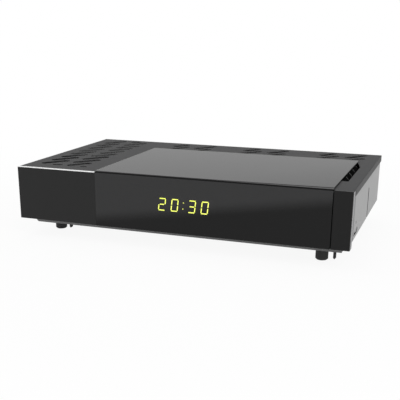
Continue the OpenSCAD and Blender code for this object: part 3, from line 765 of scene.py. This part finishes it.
def makeConnectors(look):
    first, firstX = None, 0
    for nodeName, (pieceName, x) in look["places"].items():
        if first is None:
            piece = addSpun(connectorProfile(look), (x, look["height"]), look["steps"])
            first, firstX = piece, x
        else:
            onlyThis(first)
            bpy.ops.object.duplicate()
            piece = bpy.context.active_object
            piece.location.x = (x - firstX) * mm
        finishPiece(piece, pieceName, "nickelPlate", "nickel")
        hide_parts(nodeName)


makeConnectors(connectorLook)
print("satellite connectors made")

# contacts in the rear sockets

contactRows = {
    # name: lowest corner, highest corner, eased edge, count, step
    "usbContact": ((-31.2, 50.0, 18.95), (-30.2, 58.2, 19.2), 0.08, 4, (2.8, 0, 0)),
    "hdmiUpper": ((-50.7, 50.5, 19.6), (-50.3, 58.3, 19.72), 0.04, 10, (1.0, 0, 0)),
    "hdmiLower": ((-50.2, 50.5, 18.08), (-49.8, 58.3, 18.2), 0.04, 9, (1.0, 0, 0)),
    "scartUpper": ((0.35, 53.2, 27.2), (0.55, 58.6, 28.5), 0.08, 10, (3.81, 0, 0)),
    "scartLower": ((-1.55, 53.2, 24.2), (-1.35, 58.6, 25.5), 0.08, 10, (3.81, 0, 0)),
}


def addContact(name, low, high, ease):
    piece = addBlock(low, high)
    bevelEdges(piece, lambda a, b: min(a.y, b.y) > high[1] - near, ease)  # the end that meets the plug
    finishPiece(piece, name, "goldContact", "brass_post")
    return piece


for name, (low, high, ease, count, step) in contactRows.items():
    repeatPiece(addContact(f"{name}1", low, high, ease), name, count, step)
print("socket contacts made")

# ribs under the air slot beside the gloss plate

slotRibLook = {
    # first rib's lowest and highest corner, width of the slope at its outer end, eased edge
    "low": (91.2, -39.5, 40.2), "high": (103.4, -38.3, 46.4), "slope": 5.0, "ease": 0.15,
    "count": 6, "step": (0, 13.3, 0),
}


def addSlotRib(look):
    piece = addBlock(look["low"], look["high"])
    right, top = look["high"][0], look["high"][2]
    bevelEdges(piece, lambda a, b: min(a.x, b.x) > right - near and min(a.z, b.z) > top - near,
               look["slope"], segments=1)
    addBevel(piece, look["ease"])
    finishPiece(piece, "slotRib1", "blockMoulding", "black_coat")
    return piece


repeatPiece(addSlotRib(slotRibLook), "slotRib", slotRibLook["count"], slotRibLook["step"])
print("air slot ribs made")

# power rocker and its marks

rockerLook = {
    # the pivot, how far the faces' meeting line stands out from it, and each face's lean in degrees
    "pivot": (93, 59.3, 27.5), "rise": 2.2, "tip": 7,
    # the marks: how far up or down each face, how far they stand out, and their sizes
    "markUp": 4.4, "proud": 0.12, "barSize": (0.55, 3.0), "barEase": 0.05,
    "ringRadii": (1.55, 1.05), "ringSides": 40,
    "edge": 0.25, "edgeAngle": 30,
}


def placeOnRocker(piece, upper, look):  # from a mark drawn flat on z = 0 to the rocker's upper or lower face
    lean = math.radians(2 * look["tip"] if upper else 0)
    rest = math.radians(look["tip"])
    hinge = Vector((look["pivot"][0], look["pivot"][1] + look["rise"] * math.cos(rest),
                    look["pivot"][2] - look["rise"] * math.sin(rest))) * mm
    along = Vector((0, math.sin(lean), math.cos(lean))) * (1 if upper else -1)
    piece.location = hinge + along * look["markUp"] * mm
    piece.rotation_euler = (-math.pi / 2 - lean, 0, 0)


def addRingMark(look):
    outer, inner = look["ringRadii"]
    bpy.ops.object.select_all(action="DESELECT")
    bpy.ops.mesh.primitive_circle_add(vertices=look["ringSides"], radius=outer * mm, fill_type="NGON")
    piece = bpy.context.active_object
    editMode("FACE")
    bpy.ops.mesh.select_all(action="SELECT")
    bpy.ops.mesh.inset(thickness=(outer - inner) * mm)
    bpy.ops.mesh.delete(type="FACE")
    bpy.ops.mesh.select_all(action="SELECT")
    bpy.ops.mesh.extrude_region_move(TRANSFORM_OT_translate={"value": (0, 0, look["proud"] * mm)})
    bpy.ops.mesh.select_all(action="SELECT")
    bpy.ops.mesh.normals_make_consistent(inside=False)
    bpy.ops.object.mode_set(mode="OBJECT")
    return piece


def addBarMark(look):
    half = Vector((look["barSize"][0] / 2, look["barSize"][1] / 2, look["proud"]))
    piece = addBlock(-half, half)
    addBevel(piece, look["barEase"])
    return piece


ringMark = addRingMark(rockerLook)
placeOnRocker(ringMark, True, rockerLook)
finishPiece(ringMark, "offMark", "whiteInk", "socket_black", body="rocker")
barMark = addBarMark(rockerLook)
placeOnRocker(barMark, False, rockerLook)
finishPiece(barMark, "onMark", "whiteInk", "socket_black", body="rocker")
rockerPiece = mergedCopy("switch_rocker")
addBevel(rockerPiece, rockerLook["edge"], rockerLook["edgeAngle"])
finishPiece(rockerPiece, "powerRocker", "socketMoulding", "socket_black", body="rocker")
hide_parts("switch_rocker")
print("rocker marked")
